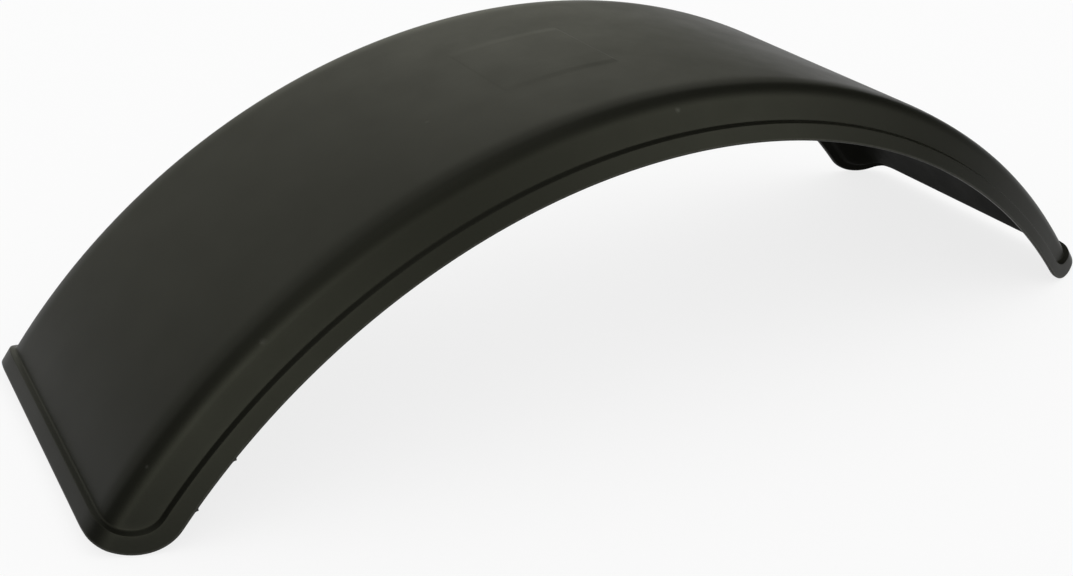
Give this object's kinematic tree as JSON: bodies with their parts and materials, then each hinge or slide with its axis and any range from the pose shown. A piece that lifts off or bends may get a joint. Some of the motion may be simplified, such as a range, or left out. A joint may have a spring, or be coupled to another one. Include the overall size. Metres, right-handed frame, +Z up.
{
  "type": "mudguard",
  "caption": "Arched wheel mudguard moulded in one piece, with a crowned panel, flared side skirts and a stepped rim all round its edge.",
  "frame": {"origin": "middle of the footprint, on the floor that the four rounded skirt corners stand on", "axes": "+X along the length of the arch, +Y across the wheel, +Z up through the crest"},
  "size_m": [0.568, 0.201, 0.1512],
  "materials": {
    "black_plastic": "satin moulded black plastic"
  },
  "bodies": {
    "root": {"mudguard": "black_plastic"}
  },
  "joints": []
}
